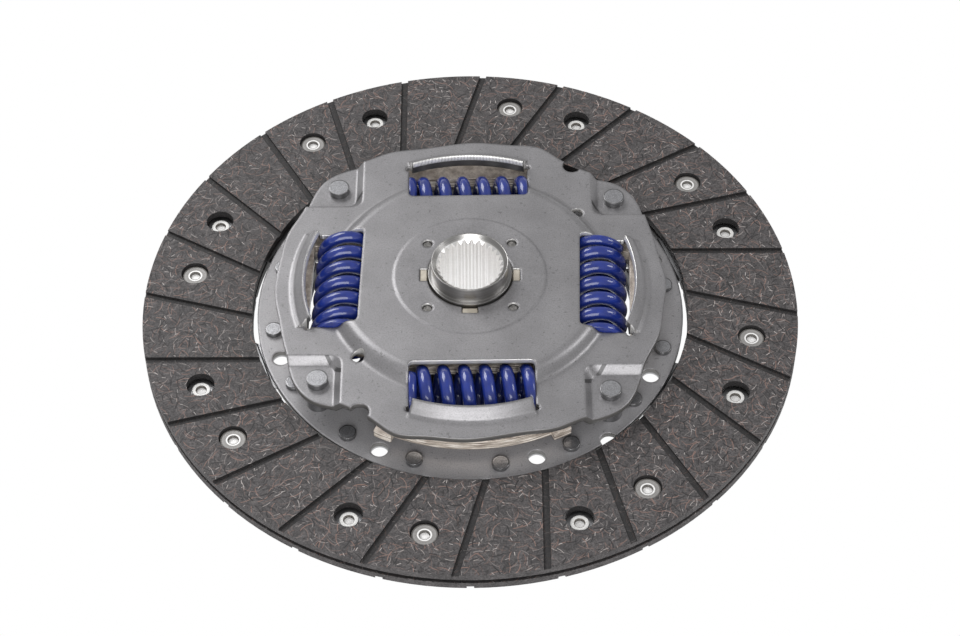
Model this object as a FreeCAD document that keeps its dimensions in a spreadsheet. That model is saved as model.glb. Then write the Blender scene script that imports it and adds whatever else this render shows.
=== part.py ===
# Clutch disc with a sprung hub. Millimetres and degrees, +Z up, the bell of the cover plate on top.
# The axis of the disc is the Z axis and the rear plate rests on Z = 0.

import math
import os
import re

import FreeCAD
import Part
import Sketcher

SIZES = {
    # friction facings
    "disc_radius": 114.0,
    "facing_inner_radius": 76.0,
    "facing_thickness": 2.7,
    "facing_gap": 1.75,
    "rear_face_height": 2.15,
    "groove_count": 24,
    "groove_width": 2.4,
    "groove_depth": 0.9,
    "groove_offset": 24.6,
    "groove_angle": 75.1,
    # facing rivets
    "facing_rivet_circle": 98.3,
    "facing_rivet_count": 8,
    "sunk_rivet_angle": 81.35,
    "deep_rivet_angle": 66.25,
    "facing_hole_radius": 4.8,
    "facing_ledge": 0.8,
    "facing_rivet_radius": 4.4,
    "facing_rivet_flange": 0.5,
    "facing_shank_radius": 2.4,
    "facing_roll_radius": 3.1,
    "facing_roll_height": 0.8,
    "facing_rivet_dimple": 1.1,
    "facing_rivet_bore": 1.8,
    # cushion segments
    "segment_sheet": 0.75,
    "segment_angle": 18.84,
    "segment_foot_radius": 63.6,
    "segment_foot_half_angle": 13.0,
    "segment_neck_half_angle": 8.1,
    "segment_paddle_radius": 77.5,
    "segment_outer_radius": 112.5,
    "segment_paddle_half_angle": 21.6,
    "segment_wave_inner": 12.0,
    "segment_wave_outer": 20.0,
    # rivets that hold the segments to the driver plate
    "segment_rivet_circle": 68.9,
    "segment_rivet_half_angle": 10.44,
    "segment_rivet_radius": 2.9,
    "segment_shank_radius": 2.5,
    "segment_rivet_head": 1.5,
    "foot_hole_radius": 2.95,
    "foot_hole_circle": 68.7,
    # stamped plates
    "plate_sheet": 2.0,
    "plate_bore_radius": 14.9,
    "bend_inner_radius": 46.5,
    "bend_outer_radius": 49.5,
    "ring_height": 4.84,
    "ring_radius": 74.3,
    "ring_notch_radius": 3.0,
    "ring_notch_angle": 308.7,
    "cover_face_height": 20.4,
    "cover_rise": 4.2,
    "coin_radius": 26.2,
    "coin_rise": 0.25,
    "cover_edge_radius": 67.5,
    "pad_drop": 2.9,
    "pad_taper_angle": 39.0,
    "pad_corner_radius": 5.0,
    "pad_across": 38.3,
    "pad_along": 36.3,
    "second_pad_across": 43.2,
    "second_pad_along": 32.0,
    "bend_fillet": 2.5,
    "edge_notch_radius": 3.3,
    "edge_notch_circle": 67.1,
    "edge_notch_angle": 56.9,
    "bore_notch_width": 5.6,
    "bore_notch_radius": 17.3,
    "peg_hole_radius": 1.8,
    "peg_circle": 20.7,
    "peg_angle": 45.45,
    "bend_hole_radius": 2.25,
    "bend_hole_circle": 50.0,
    "bend_hole_angle": 41.0,
    # spring windows and their hoods
    "upper_window_angle": 90.8,
    "side_window_angle": -1.6,
    "window_inner_edge": 37.75,
    "window_half_length": 21.2,
    "window_corner_radius": 1.7,
    "hood_root_radius": 58.2,
    "hood_half_angle": 20.2,
    "hood_rise": 4.5,
    "hood_lean": 2.9,
    "hood_flare": 2.2,
    "relief_hole_radius": 1.15,
    "relief_hole_along": 54.9,
    # stop pins
    "pin_circle": 65.9,
    "pin_angle": 38.94,
    "second_pin_angle": 135.44,
    "pin_barrel_radius": 4.3,
    "pin_shank_radius": 3.0,
    "pin_head_radius": 3.65,
    "pin_head_height": 2.35,
    "pin_tail_height": 2.2,
    # hub and flange
    "damper_height": 12.3,
    "hub_height": 31.7,
    "hub_foot_height": 0.5,
    "hub_step_height": 25.9,
    "hub_rim_radius": 13.2,
    "hub_barrel_radius": 14.4,
    "hub_seat_radius": 16.5,
    "hub_seat_height": 8.8,
    "hub_mouth_radius": 12.9,
    "spline_count": 28,
    "spline_minor_radius": 10.45,
    "spline_major_radius": 11.4,
    "spline_angle": 87.1,
    "spline_mouth_half_width": 0.87,
    "spline_root_half_width": 0.34,
    "flange_thickness": 4.0,
    "flange_radius": 64.4,
    "flange_waist_radius": 43.8,
    "arm_root_radius": 52.0,
    "lug_radius": 66.8,
    "lug_start_angle": 24.0,
    "upper_arm_half_angle": 29.5,
    "side_arm_half_angle": 27.2,
    "flange_window_inner": 32.2,
    "flange_window_outer": 55.5,
    "flange_window_half_length": 21.3,
    # damper springs
    "spring_circle": 43.6,
    "spring_radius": 11.0,
    "spring_wire_radius": 2.25,
    "spring_pitch": 7.0,
    "spring_length": 42.2,
    "spring_end_trim": 0.5,
    "spring_flat_turn": 0.35,
    "upper_spring_start": 10.0,
    "far_spring_start": 113.0,
    "lower_spring_start": -72.0,
    "side_spring_start": -77.0,
    # friction pack
    "pack_bore_radius": 14.7,
    "running_gap": 0.1,
    "bush_radius": 17.2,
    "bush_depth": 4.0,
    "bush_tab_width": 5.0,
    "bush_tab_height": 1.6,
    "washer_radius": 31.0,
    "washer_thickness": 2.0,
    "peg_radius": 1.65,
    "peg_rise": 1.2,
    "cup_inner_radius": 23.0,
    "cup_outer_radius": 30.0,
    "cup_thickness": 1.5,
    "rear_bush_radius": 24.0,
    # clearances between pieces that are riveted together
    "rivet_clearance": 0.05,
}

# The edge of the cover plate over half a turn: an angle and the reach past cover_edge_radius
COVER_EDGE = [
    (4, 0.0), (14, -0.3), (22, 0.9), (27, 2.0), (33, 4.2), (39, 5.3), (44, 4.4), (48.5, 1.6), (53, 0.0),
    (62, 0.2), (69, 2.3), (77, 0.7), (88, 0.3), (106, -0.3), (115, 1.8), (122, 2.2), (128, 4.2),
    (135.5, 5.6), (142, 3.6), (150, 0.9), (160, 0.7), (170, -0.3),
]

SPRING_SIDES = 6
SPRING_STEPS = 12

doc = FreeCAD.newDocument("clutch_disc")
sheet = doc.addObject("Spreadsheet::Sheet", "Sizes")


def fill_sheet():
    """Each size as a plain number in its own cell, under its own name."""
    for row, (name, number) in enumerate(SIZES.items(), start=1):
        sheet.set("A%d" % row, name)
        sheet.set("B%d" % row, str(number))
        sheet.setAlias("B%d" % row, name)
    doc.recompute()


def size(name):
    """The number that the sheet holds under a name."""
    return float(sheet.get(name))


def bound(text):
    """The expression with every size name pointed at the sheet."""
    return re.sub(r"[a-z_]{3,}", lambda m: "Sizes." + m.group(0) if m.group(0) in SIZES else m.group(0), text)


# Sketches and features

def new_body(label):
    body = doc.addObject("PartDesign::Body", label)
    body.Label = label
    body.AllowCompound = True
    return body


def new_sketch(body, plane, height="0", turn="0"):
    """A sketch on a plane of the body's origin, lifted along and turned about the plane's own upright."""
    sketch = body.newObject("Sketcher::SketchObject", body.Name + "_sketch")
    support = [item for item in body.Origin.OriginFeatures if item.Role == plane][0]
    sketch.AttachmentSupport = [(support, "")]
    sketch.MapMode = "FlatFace"
    upright = FreeCAD.Vector(0, 0, 1) if plane == "XY_Plane" else FreeCAD.Vector(0, 1, 0)
    sketch.AttachmentOffset = FreeCAD.Placement(FreeCAD.Vector(), FreeCAD.Rotation(upright, 1))
    sketch.setExpression("AttachmentOffset.Base.z", bound(height))
    sketch.setExpression("AttachmentOffset.Rotation.Angle", bound(turn))
    return sketch


def drive(sketch, constraint, text):
    """Adds a constraint and ties its number to the sheet."""
    index = sketch.addConstraint(constraint)
    sketch.setExpression("Constraints[%d]" % index, bound(text))


def add_polygon(sketch, corners):
    """A closed outline whose corners are pairs of expressions."""
    count = len(corners)
    first = sketch.GeometryCount
    around = [FreeCAD.Vector(math.cos(2 * math.pi * i / count), math.sin(2 * math.pi * i / count), 0)
              for i in range(count)]
    for i in range(count):
        sketch.addGeometry(Part.LineSegment(around[i], around[(i + 1) % count]))
    for i in range(count):
        sketch.addConstraint(Sketcher.Constraint("Coincident", first + i, 2, first + (i + 1) % count, 1))
    for i, (across, along) in enumerate(corners):
        drive(sketch, Sketcher.Constraint("DistanceX", -1, 1, first + i, 1, 1.0), across)
        drive(sketch, Sketcher.Constraint("DistanceY", -1, 1, first + i, 1, 1.0), along)


def add_circle(sketch, radius, across="0", along="0"):
    """A circle round the sketch's origin, or round a point given by two expressions."""
    index = sketch.addGeometry(Part.Circle(FreeCAD.Vector(1, 1, 0), FreeCAD.Vector(0, 0, 1), 1))
    drive(sketch, Sketcher.Constraint("Radius", index, 1.0), radius)
    drive(sketch, Sketcher.Constraint("DistanceX", -1, 1, index, 3, 1.0), across)
    drive(sketch, Sketcher.Constraint("DistanceY", -1, 1, index, 3, 1.0), along)


def polar(radius, angle):
    """The two expressions of a point given by a radius and an angle."""
    return "(%s) * cos(%s)" % (radius, angle), "(%s) * sin(%s)" % (radius, angle)


def add_feature(body, kind, sketch, **settings):
    feature = body.newObject("PartDesign::" + kind, body.Name + "_" + kind.lower())
    feature.Profile = sketch
    for name, value in settings.items():
        if isinstance(value, str) and name != "Type":
            feature.setExpression(name, bound(value))
        else:
            setattr(feature, name, value)
    return feature


def add_pad(body, sketch, length, **settings):
    return add_feature(body, "Pad", sketch, Length=length, **settings)


def add_pocket(body, sketch, length, **settings):
    return add_feature(body, "Pocket", sketch, Length=length, **settings)


def add_round(body, radius, chosen):
    """Rounds the edges that the test picks from the body as it stands."""
    doc.recompute()
    last = body.Tip
    names = ["Edge%d" % (i + 1) for i, edge in enumerate(last.Shape.Edges) if chosen(edge)]
    feature = body.newObject("PartDesign::Fillet", body.Name + "_round")
    feature.Base = (last, names)
    feature.setExpression("Radius", bound(radius))
    return feature


def add_pattern(body, features, count):
    """Copies features evenly round the Z axis."""
    pattern = body.newObject("PartDesign::PolarPattern", body.Name + "_pattern")
    pattern.Originals = features
    axis = [item for item in body.Origin.OriginFeatures if item.Role == "Z_Axis"][0]
    pattern.Axis = (axis, [""])
    pattern.Angle = 360
    pattern.setExpression("Occurrences", bound(count))
    body.Tip = pattern
    return pattern


def add_turned(body, corners, turn="0"):
    """A profile in the upright plane, spun round the Z axis."""
    sketch = new_sketch(body, "XZ_Plane", turn=turn)
    add_polygon(sketch, corners)
    return add_feature(body, "Revolution", sketch, ReferenceAxis=(sketch, ["V_Axis"]), Angle=360.0)


def add_turned_at(body, circle, corners, turn):
    """A profile spun round an upright line that stands on a circle, at an angle."""
    sketch = new_sketch(body, "XZ_Plane", turn=turn)
    add_polygon(sketch, [("%s + %s" % (circle, across), along) for across, along in corners])
    line = sketch.addGeometry(Part.LineSegment(FreeCAD.Vector(1, 0, 0), FreeCAD.Vector(1, 1, 0)), True)
    for point, height in ((1, "0"), (2, "10")):
        drive(sketch, Sketcher.Constraint("DistanceX", -1, 1, line, point, 1.0), circle)
        drive(sketch, Sketcher.Constraint("DistanceY", -1, 1, line, point, 1.0), height)
    return add_feature(body, "Revolution", sketch, ReferenceAxis=(sketch, ["Axis0"]), Angle=360.0)


def add_sector(body, inner, outer, half_angle):
    """A tall block over part of a ring, half of it on each side of the X axis."""
    sketch = new_sketch(body, "XZ_Plane")
    add_polygon(sketch, [(inner, "0"), (outer, "0"), (outer, "cover_face_height"), (inner, "cover_face_height")])
    return add_feature(body, "Revolution", sketch, ReferenceAxis=(sketch, ["V_Axis"]),
                       Angle="2 * " + half_angle, Midplane=True)


def add_ring(body, inner, outer, low, high):
    """A plain ring of rectangular section."""
    return add_turned(body, [(inner, low), (outer, low), (outer, high), (inner, high)])


def combine(kind, label, base, tools):
    """A boolean of whole pieces."""
    result = doc.addObject("Part::" + kind, label)
    result.Label = label
    if kind == "Cut":
        result.Base = base
        result.Tool = tools
    else:
        result.Shapes = [base] + tools
    return result


# Heights that several pieces share

REAR_GAP_HEIGHT = "(rear_face_height + facing_thickness)"
FRONT_GAP_HEIGHT = "(rear_face_height + facing_thickness + facing_gap)"
RING_TOP = "(ring_height + plate_sheet)"
COIN_UNDERSIDE = "(cover_face_height + cover_rise + coin_rise - plate_sheet)"
PAD_TOP = "(cover_face_height - pad_drop)"
PAD_UNDERSIDE = "(cover_face_height - pad_drop - plate_sheet)"
FLANGE_TOP = "(damper_height + flange_thickness / 2)"
FLANGE_UNDERSIDE = "(damper_height - flange_thickness / 2)"


# Friction facings: one shape, used twice, the rear one turned over

def make_facing(label):
    body = new_body(label)
    ring = new_sketch(body, "XY_Plane")
    add_circle(ring, "disc_radius")
    add_circle(ring, "facing_inner_radius")
    add_pad(body, ring, "facing_thickness")

    groove = new_sketch(body, "XY_Plane", "facing_thickness", "groove_angle")
    near = "groove_offset - groove_width / 2"
    far = "groove_offset + groove_width / 2"
    start = "facing_inner_radius / 2"
    end = "disc_radius + groove_width"
    add_polygon(groove, [(start, near), (end, near), (end, far), (start, far)])
    add_pattern(body, [add_pocket(body, groove, "groove_depth")], "groove_count")

    sunk = new_sketch(body, "XY_Plane", "facing_thickness")
    add_circle(sunk, "facing_hole_radius", *polar("facing_rivet_circle", "sunk_rivet_angle"))
    deep = new_sketch(body, "XY_Plane", "facing_thickness")
    add_circle(deep, "facing_hole_radius", *polar("facing_rivet_circle", "deep_rivet_angle"))
    shank = new_sketch(body, "XY_Plane", "facing_thickness")
    add_circle(shank, "facing_shank_radius + rivet_clearance",
               *polar("facing_rivet_circle", "sunk_rivet_angle"))
    holes = [
        add_pocket(body, sunk, "facing_thickness - facing_ledge"),
        add_pocket(body, deep, "facing_thickness + 1"),
        add_pocket(body, shank, "facing_thickness + 1"),
    ]
    add_pattern(body, holes, "facing_rivet_count")
    return body


def make_facings():
    front = make_facing("front_facing")
    front.setExpression("Placement.Base.z", bound(FRONT_GAP_HEIGHT))
    rear = make_facing("rear_facing")
    pair_middle = math.radians((size("sunk_rivet_angle") + size("deep_rivet_angle")) / 2 - 22.5)
    axis = FreeCAD.Vector(math.cos(pair_middle), math.sin(pair_middle), 0)
    rear.Placement = FreeCAD.Placement(FreeCAD.Vector(), FreeCAD.Rotation(axis, 180))
    rear.setExpression("Placement.Base.z", bound(REAR_GAP_HEIGHT))
    return [front, rear]


# Hollow rivets: a flange sunk in one facing, the other end rolled over the segment

def make_facing_rivets(label, angle, flange, inward, segment_far):
    """One group of rivets. The sign word turns the profile over for the rear facing."""
    body = new_body(label)
    flange_under = "%s %s facing_rivet_flange" % (flange, inward)
    roll_end = "%s %s facing_roll_height" % (segment_far, inward)
    outward = "+" if inward == "-" else "-"
    dimple_floor = "%s %s facing_rivet_dimple" % (flange, inward)
    tube_floor = "%s %s facing_rivet_dimple" % (roll_end, outward)
    corners = [
        ("0", dimple_floor),
        ("facing_rivet_bore", dimple_floor),
        ("facing_rivet_bore", flange),
        ("facing_rivet_radius", flange),
        ("facing_rivet_radius", flange_under),
        ("facing_shank_radius", flange_under),
        ("facing_shank_radius", segment_far),
        ("facing_roll_radius", segment_far),
        ("facing_roll_radius", roll_end),
        ("facing_rivet_bore", roll_end),
        ("facing_rivet_bore", tube_floor),
        ("0", tube_floor),
    ]
    add_pattern(body, [add_turned_at(body, "facing_rivet_circle", corners, angle)], "facing_rivet_count")
    return body


def make_all_facing_rivets():
    front_flange = FRONT_GAP_HEIGHT + " + facing_ledge + facing_rivet_flange"
    front = make_facing_rivets(
        "front_facing_rivets", "sunk_rivet_angle", front_flange, "-",
        FRONT_GAP_HEIGHT + " - segment_sheet")
    rear_flange = REAR_GAP_HEIGHT + " - facing_ledge - facing_rivet_flange"
    rear = make_facing_rivets(
        "rear_facing_rivets", "deep_rivet_angle", rear_flange, "+",
        REAR_GAP_HEIGHT + " + segment_sheet")
    return [front, rear]


# Cushion segments: spring steel with a foot under the ring and a waved paddle between the facings

def make_segment(number):
    label = "cushion_segment_%d" % number
    turn = "segment_angle + %d" % (45 * (number - 1))
    foot_low = "ring_height - segment_sheet"
    paddle_low = REAR_GAP_HEIGHT
    front_low = FRONT_GAP_HEIGHT + " - segment_sheet"

    # Foot and neck as a bent strip, seen from the side
    strip = new_body(label + "_strip")
    side = new_sketch(strip, "XZ_Plane")
    fold_end = "facing_inner_radius * cos(segment_neck_half_angle)"
    add_polygon(side, [
        ("segment_foot_radius - 5", foot_low),
        ("ring_radius + segment_sheet / 3", foot_low),
        (fold_end + " - 0.1", paddle_low),
        ("segment_paddle_radius + 2", paddle_low),
        ("segment_paddle_radius + 2", paddle_low + " + segment_sheet"),
        (fold_end + " - 0.1 - segment_sheet / 3", paddle_low + " + segment_sheet"),
        ("ring_radius", "ring_height"),
        ("segment_foot_radius - 5", "ring_height"),
    ])
    add_pad(strip, side, "segment_foot_radius", Midplane=True)
    foot_plan = new_body(label + "_foot_plan")
    add_sector(foot_plan, "segment_foot_radius", "ring_radius - 0.5", "segment_foot_half_angle")
    add_sector(foot_plan, "ring_radius - 1", "segment_paddle_radius + 1", "segment_neck_half_angle")

    # Paddle as a waved strip, seen along a radius
    wave = new_body(label + "_wave")
    end = new_sketch(wave, "YZ_Plane", "segment_foot_radius")
    reach = "segment_outer_radius"
    steps = [
        ("-" + reach, front_low), ("-segment_wave_outer", front_low), ("-segment_wave_inner", paddle_low),
        ("segment_wave_inner", paddle_low), ("segment_wave_outer", front_low), (reach, front_low),
    ]
    add_polygon(end, steps + [(across, low + " + segment_sheet") for across, low in reversed(steps)])
    add_pad(wave, end, "segment_outer_radius")
    paddle_plan = new_body(label + "_paddle_plan")
    add_sector(paddle_plan, "segment_paddle_radius", "segment_outer_radius", "segment_paddle_half_angle")

    # Rivet holes and the hole in the foot
    holes = new_body(label + "_holes")
    drill = new_sketch(holes, "XY_Plane")
    add_circle(drill, "foot_hole_radius", "foot_hole_circle")
    for sign in ("", "-"):
        add_circle(drill, "segment_shank_radius + rivet_clearance",
                   *polar("segment_rivet_circle", sign + "segment_rivet_half_angle"))
    for rivet in ("sunk_rivet_angle", "deep_rivet_angle"):
        add_circle(drill, "facing_shank_radius + rivet_clearance",
                   *polar("facing_rivet_circle", rivet + " - segment_angle - 45"))
    add_pad(holes, drill, "cover_face_height")

    lower = combine("MultiCommon", label + "_lower", strip, [foot_plan])
    upper = combine("MultiCommon", label + "_upper", wave, [paddle_plan])
    whole = combine("MultiFuse", label + "_whole", lower, [upper])
    segment = combine("Cut", label, whole, holes)
    segment.Placement = FreeCAD.Placement(FreeCAD.Vector(), FreeCAD.Rotation(FreeCAD.Vector(0, 0, 1), 1))
    segment.setExpression("Placement.Rotation.Angle", bound(turn))
    return segment


# Stamped plates

def make_window(label, angle):
    """The hole that a spring window makes through both plates, its inner corners rounded."""
    body = new_body(label)
    inset = "window_half_length - window_corner_radius"
    start = "window_inner_edge + window_corner_radius"
    for inner, half in ((start, "window_half_length"), ("window_inner_edge", inset)):
        side = new_sketch(body, "XY_Plane", "-5", angle)
        add_polygon(side, [
            (inner, "-(%s)" % half), ("ring_radius", "-(%s)" % half), ("ring_radius", half), (inner, half),
        ])
        add_pad(body, side, "hub_height + 10")
    corners = new_sketch(body, "XY_Plane", "-5", angle)
    for sign in ("", "-"):
        add_circle(corners, "window_corner_radius", start, "%s(%s)" % (sign, inset))
    add_pad(body, corners, "hub_height + 10")
    outer = new_body(label + "_reach")
    disc = new_sketch(outer, "XY_Plane", "-6")
    add_circle(disc, "hood_root_radius")
    add_pad(outer, disc, "hub_height + 12")
    return combine("MultiCommon", label + "_hole", body, [outer])


def make_hood(label, angle, face, outward):
    """The lip that stands up from a plate along the outer edge of a window."""
    body = new_body(label)
    sheet_under = "-" if outward == "+" else "+"
    root = "hood_root_radius + plate_sheet"
    back = "%s %s plate_sheet" % (face, sheet_under)
    tip = "%s %s hood_rise" % (face, outward)
    profile = new_sketch(body, "XZ_Plane", turn=angle)
    add_polygon(profile, [
        ("hood_root_radius", back),
        (root + " + hood_flare", back),
        (root + " + hood_flare", face),
        (root + " + hood_flare * 0.25", "%s %s hood_rise * 0.18" % (face, outward)),
        (root + " - hood_lean * 0.3", "%s %s hood_rise * 0.6" % (face, outward)),
        (root + " - hood_lean", tip),
        ("%s - hood_lean - 0.6" % root, "%s %s plate_sheet" % (tip, sheet_under)),
        ("hood_root_radius - 0.5", "%s %s hood_rise * 0.3" % (face, outward)),
    ])
    add_feature(body, "Revolution", profile, ReferenceAxis=(profile, ["V_Axis"]),
                Angle="2 * hood_half_angle", Midplane=True)
    return body


WINDOW_ANGLES = {
    "upper": "upper_window_angle",
    "side": "side_window_angle",
    "lower": "upper_window_angle + 180",
    "far_side": "side_window_angle + 180",
}


def make_drill(label, holes):
    """Round holes along Z through everything: radius, circle and angle of each."""
    body = new_body(label)
    sketch = new_sketch(body, "XY_Plane", "-5")
    for radius, circle, angle in holes:
        add_circle(sketch, radius, *polar(circle, angle))
    add_pad(body, sketch, "hub_height + 10")
    return body


def window_drill(label):
    """The relief holes at both ends of each hood."""
    body = new_body(label)
    for angle in WINDOW_ANGLES.values():
        sketch = new_sketch(body, "XY_Plane", "-5", angle)
        for sign in ("", "-"):
            add_circle(sketch, "relief_hole_radius", "relief_hole_along", sign + "window_half_length")
        add_pad(body, sketch, "hub_height + 10")
    return body


def make_driver_plate(windows, reliefs):
    body = new_body("driver_plate_form")
    inset = " - plate_sheet * 0.55"
    add_turned(body, [
        ("plate_bore_radius", "0"),
        ("bend_inner_radius", "0"),
        ("bend_outer_radius", "ring_height"),
        ("ring_radius", "ring_height"),
        ("ring_radius", RING_TOP),
        ("bend_outer_radius" + inset, RING_TOP),
        ("bend_inner_radius" + inset, "plate_sheet"),
        ("plate_bore_radius", "plate_sheet"),
    ])
    holes = [("ring_notch_radius", "ring_radius", "ring_notch_angle")]
    for number in range(8):
        centre = "segment_angle + %d" % (45 * number)
        holes.append(("foot_hole_radius", "foot_hole_circle", centre))
        for sign in ("+", "-"):
            holes.append(("segment_shank_radius + rivet_clearance", "segment_rivet_circle",
                          "%s %s segment_rivet_half_angle" % (centre, sign)))
    for angle in PIN_ANGLES:
        holes.append(("pin_shank_radius + rivet_clearance", "pin_circle", angle))
    drill = make_drill("driver_plate_drill", holes)
    pierced = combine("Cut", "driver_plate_pierced", body, combine(
        "MultiFuse", "driver_plate_holes", drill, windows))
    hoods = [make_hood("driver_hood_" + name, angle, "ring_height", "-")
             for name, angle in WINDOW_ANGLES.items()]
    hooded = combine("MultiFuse", "driver_plate_hooded", pierced, hoods)
    return combine("Cut", "driver_plate", hooded, reliefs)


PIN_ANGLES = ["pin_angle", "second_pin_angle", "pin_angle + 180", "second_pin_angle + 180"]

# Where the walls of the four pads stand: corner across, corner along, quadrant signs
PADS = [
    ("pad_across", "pad_along", -1, 1),
    ("pad_across", "pad_along", 1, -1),
    ("second_pad_across", "second_pad_along", 1, 1),
    ("second_pad_across", "second_pad_along", -1, -1),
]


def make_cover_form(label, side):
    """The block under the sheet's upper side (0) or its lower side (1), with the bell's bends rounded."""
    body = new_body(label)
    face = "(cover_face_height - %d * plate_sheet)" % side
    inset = "%d * plate_sheet / 2" % side
    level = size("cover_face_height") - side * size("plate_sheet")
    shift = side * size("plate_sheet") / 2
    add_turned(body, [
        ("0", "0"),
        ("disc_radius", "0"),
        ("disc_radius", face),
        ("bend_outer_radius - " + inset, face),
        ("bend_inner_radius - " + inset, face + " + cover_rise"),
        ("coin_radius + coin_rise", face + " + cover_rise"),
        ("coin_radius", face + " + cover_rise + coin_rise"),
        ("0", face + " + cover_rise + coin_rise"),
    ])
    for name, height, fillet in (
        ("bend_inner_radius", level + size("cover_rise"), "bend_fillet + %d * plate_sheet" % (1 - side)),
        ("bend_outer_radius", level, "bend_fillet + %d * plate_sheet" % side),
    ):
        radius = size(name) - shift
        add_round(body, fillet, lambda edge: all(
            abs(math.hypot(vertex.X, vertex.Y) - radius) < 0.01 and abs(vertex.Z - height) < 0.01
            for vertex in edge.Vertexes))
    for across, along, right, back in PADS:
        corner = new_sketch(body, "XY_Plane", face)
        near_x = "%d * (%s - %s)" % (right, across, inset)
        near_y = "%d * (%s - %s)" % (back, along, inset)
        far_x = "%s + %d * disc_radius" % (near_x, right)
        far_y = "%s + %d * disc_radius" % (near_y, back)
        add_polygon(corner, [(near_x, near_y), (far_x, near_y), (far_x, far_y), (near_x, far_y)])
        add_pocket(body, corner, "pad_drop", TaperAngle="-pad_taper_angle")
    add_round(body, "pad_corner_radius", lambda edge: (
        len(edge.Vertexes) == 2
        and abs(abs(edge.Vertexes[0].Z - edge.Vertexes[1].Z) - size("pad_drop")) < 0.01
        and math.hypot(edge.CenterOfMass.x, edge.CenterOfMass.y) < size("pin_circle")))
    return body


def cover_outline():
    """The stamped outline as one smooth closed curve."""
    points = []
    for half_turn in (0, 180):
        for angle, reach in COVER_EDGE:
            radius = size("cover_edge_radius") + reach
            around = math.radians(angle + half_turn)
            points.append(FreeCAD.Vector(radius * math.cos(around), radius * math.sin(around), 0))
    curve = Part.BSplineCurve()
    curve.interpolate(Points=points, PeriodicFlag=True)
    face = Part.Face(Part.Wire([curve.toShape()]))
    outline = doc.addObject("Part::Feature", "cover_outline")
    outline.Shape = face.extrude(FreeCAD.Vector(0, 0, size("hub_height")))
    return outline


def make_cover_plate(windows, reliefs):
    upper = make_cover_form("cover_upper_form", 0)
    lower = make_cover_form("cover_lower_form", 1)
    stamped = combine("Cut", "cover_stamped", upper, lower)
    trimmed = combine("MultiCommon", "cover_trimmed", stamped, [cover_outline()])
    holes = [("plate_bore_radius", "0", "0")]
    for quarter in range(4):
        holes.append(("peg_hole_radius", "peg_circle", "peg_angle + %d" % (90 * quarter)))
    for half in (0, 180):
        holes.append(("edge_notch_radius", "edge_notch_circle", "edge_notch_angle + %d" % half))
        holes.append(("bend_hole_radius", "bend_hole_circle", "bend_hole_angle + %d" % half))
    for angle in PIN_ANGLES:
        holes.append(("pin_shank_radius + rivet_clearance", "pin_circle", angle))
    drill = make_drill("cover_drill", holes)
    notches = new_body("cover_bore_notches")
    cross = new_sketch(notches, "XY_Plane", "-5")
    half = "bore_notch_width / 2"
    out = "bore_notch_radius"
    add_polygon(cross, [
        (out, "-" + half), (out, half), (half, half), (half, out), ("-" + half, out), ("-" + half, half),
        ("-" + out, half), ("-" + out, "-" + half), ("-" + half, "-" + half), ("-" + half, "-" + out),
        (half, "-" + out), (half, "-" + half),
    ])
    add_pad(notches, cross, "hub_height + 10")
    tools = combine("MultiFuse", "cover_holes", drill, windows + [notches])
    pierced = combine("Cut", "cover_pierced", trimmed, tools)
    hoods = [make_hood("cover_hood_" + name, angle, "cover_face_height", "+")
             for name, angle in WINDOW_ANGLES.items()]
    hooded = combine("MultiFuse", "cover_hooded", pierced, hoods)
    return combine("Cut", "cover_plate", hooded, reliefs)


# Rivets of the segments and stop pins between the plates

def make_segment_rivets():
    body = new_body("segment_rivets")
    low = "ring_height - segment_sheet"
    corners = [
        ("0", low + " - segment_rivet_head"),
        ("segment_rivet_radius", low + " - segment_rivet_head"),
        ("segment_rivet_radius", low),
        ("segment_shank_radius", low),
        ("segment_shank_radius", RING_TOP),
        ("segment_rivet_radius", RING_TOP),
        ("segment_rivet_radius", RING_TOP + " + segment_rivet_head"),
        ("0", RING_TOP + " + segment_rivet_head"),
    ]
    pair = [add_turned_at(body, "segment_rivet_circle", corners, "segment_angle %s segment_rivet_half_angle" % sign)
            for sign in ("+", "-")]
    add_pattern(body, pair, "facing_rivet_count")
    return body


def make_stop_pins():
    body = new_body("stop_pins")
    corners = [
        ("0", "ring_height - pin_tail_height"),
        ("pin_head_radius", "ring_height - pin_tail_height"),
        ("pin_head_radius", "ring_height"),
        ("pin_shank_radius", "ring_height"),
        ("pin_shank_radius", RING_TOP),
        ("pin_barrel_radius", RING_TOP),
        ("pin_barrel_radius", PAD_UNDERSIDE),
        ("pin_shank_radius", PAD_UNDERSIDE),
        ("pin_shank_radius", PAD_TOP),
        ("pin_head_radius", PAD_TOP),
        ("pin_head_radius", PAD_TOP + " + pin_head_height"),
        ("0", PAD_TOP + " + pin_head_height"),
    ]
    pair = [add_turned_at(body, "pin_circle", corners, angle) for angle in PIN_ANGLES[:2]]
    add_pattern(body, pair, "2")
    return body


# Friction pack round the hub

def make_front_bush():
    body = new_body("front_bush")
    add_ring(body, "pack_bore_radius", "bush_radius",
             COIN_UNDERSIDE + " - bush_depth", COIN_UNDERSIDE)
    tab = new_sketch(body, "XY_Plane", COIN_UNDERSIDE)
    half = "bush_tab_width / 2"
    add_polygon(tab, [
        ("plate_bore_radius + 0.1", "-" + half),
        ("bush_radius - 0.1", "-" + half),
        ("bush_radius - 0.1", half),
        ("plate_bore_radius + 0.1", half),
    ])
    add_pattern(body, [add_pad(body, tab, "bush_tab_height")], "4")
    return body


def make_pressure_washer():
    body = new_body("pressure_washer")
    low = FLANGE_TOP + " + running_gap"
    add_ring(body, "pack_bore_radius", "washer_radius", low, low + " + washer_thickness")
    peg = new_sketch(body, "XY_Plane", low + " + washer_thickness")
    add_circle(peg, "peg_radius", *polar("peg_circle", "peg_angle"))
    length = "%s + peg_rise - (%s + washer_thickness)" % (COIN_UNDERSIDE, low)
    add_pattern(body, [add_pad(body, peg, length)], "4")
    return body


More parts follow.
